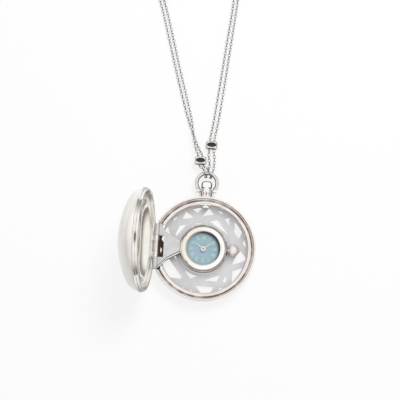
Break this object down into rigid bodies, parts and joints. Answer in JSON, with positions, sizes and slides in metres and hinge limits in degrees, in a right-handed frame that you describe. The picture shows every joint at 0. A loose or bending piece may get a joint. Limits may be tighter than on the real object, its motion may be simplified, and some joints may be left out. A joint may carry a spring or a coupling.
{
  "type": "pendant watch",
  "caption": "Round pendant watch with an open domed hunter cover, openwork back, small inner watch, bow and fine chain.",
  "frame": {"origin": "on the round case's axis, in the plane of the flat case back that the watch lies on", "axes": "+Z out of the dial, +Y to 12 o'clock and the bow, +X to 3 o'clock and the crown"},
  "size_m": [0.0541, 0.1596, 0.0417],
  "materials": {
    "warm_steel": "polished",
    "polished_steel": "polished",
    "satin_steel": "satin",
    "cream_lacquer": "gloss lacquer",
    "dark_stone": "polished",
    "spring_steel": "bright",
    "gasket_rubber": "matt",
    "mineral_glass": "clear",
    "pearl_dial": "pearl",
    "plated_brass": "plated",
    "hand_silver": "polished",
    "circuit_board": "matt",
    "cell_steel": "bright",
    "coil_copper": "wound wire",
    "chain_silver": "polished",
    "grip_rubber": "matt"
  },
  "bodies": {
    "case": {"case_ring": "warm_steel", "openwork_back": "satin_steel", "case_bridge": "polished_steel", "hinge_pin": "polished_steel", "collar": "polished_steel", "button_spring": "spring_steel", "middle_case": "polished_steel", "case_back": "satin_steel", "case_back_gasket": "gasket_rubber", "watch_bezel": "polished_steel", "crystal": "mineral_glass", "crystal_gasket": "gasket_rubber", "flange_ring": "satin_steel", "dial": "pearl_dial", "crown_tube": "satin_steel", "movement_plate": "plated_brass", "circuit_block": "circuit_board", "battery": "cell_steel", "battery_strap": "spring_steel", "stepping_coil": "coil_copper", "train_cover": "plated_brass"},
    "cover": {"cover_dome": "cream_lacquer", "cover_rim": "polished_steel", "hinge_leaf": "polished_steel", "catch_lug": "polished_steel", "stone_collet": "polished_steel", "cover_stone": "dark_stone"},
    "button": {"release_button": "polished_steel"},
    "bow": {"bow": "polished_steel"},
    "chain": {"chain_left_run": "chain_silver", "chain_right_run": "chain_silver", "chain_coil": "chain_silver", "left_bead": "polished_steel", "left_bead_grip": "grip_rubber", "right_bead": "polished_steel", "right_bead_grip": "grip_rubber"},
    "setting": {"setting_lever": "spring_steel"},
    "crown": {"crown": "polished_steel", "winding_stem": "spring_steel"},
    "minute": {"cannon_pinion": "plated_brass", "minute_hand": "hand_silver", "hand_cap": "hand_silver"},
    "minute_wheel": {"minute_wheel": "plated_brass"},
    "hour": {"hour_wheel": "plated_brass", "hour_hand": "hand_silver"}
  },
  "joints": [
    {"name": "cover_hinge", "type": "hinge", "parent": "case", "child": "cover", "pos_m": [-0.01805, 0, 0.005], "axis": [0, -1, 0], "range_deg": [-97.5, 8]},
    {"name": "button_press", "type": "slide", "parent": "case", "child": "button", "axis": [0, -1, 0], "range_m": [0, 0.0005], "stiffness_N_per_m": 500, "deforming": ["button_spring"]},
    {"name": "bow_swing", "type": "hinge", "parent": "case", "child": "bow", "pos_m": [0, 0.0226, 0.003], "axis": [1, 0, 0], "range_deg": [-70, 75]},
    {"name": "chain_swing", "type": "hinge", "parent": "bow", "child": "chain", "pos_m": [0, 0.02955, 0.003], "axis": [1, 0, 0], "range_deg": [-20, 20]},
    {"name": "crown_pull", "type": "slide", "parent": "case", "child": "setting", "axis": [1, 0, 0], "range_m": [0, 0.0008]},
    {"name": "crown_turn", "type": "hinge", "parent": "setting", "child": "crown", "pos_m": [0.012, 0, 0.0036], "axis": [1, 0, 0], "continuous": true},
    {"name": "minute_hand_turn", "type": "hinge", "parent": "case", "child": "minute", "pos_m": [0, 0, 0.005], "axis": [0, 0, -1], "continuous": true},
    {"name": "minute_wheel_turn", "type": "hinge", "parent": "case", "child": "minute_wheel", "pos_m": [-0.00181, -0.00085, 0.0035], "axis": [0, 0, -1], "continuous": true},
    {"name": "hour_hand_turn", "type": "hinge", "parent": "case", "child": "hour", "pos_m": [0, 0, 0.005], "axis": [0, 0, -1], "continuous": true}
  ],
  "couplings": [
    {"joint": "minute_wheel_turn", "follows": "minute_hand_turn", "ratio": -0.33333},
    {"joint": "hour_hand_turn", "follows": "minute_hand_turn", "ratio": 0.083333}
  ]
}
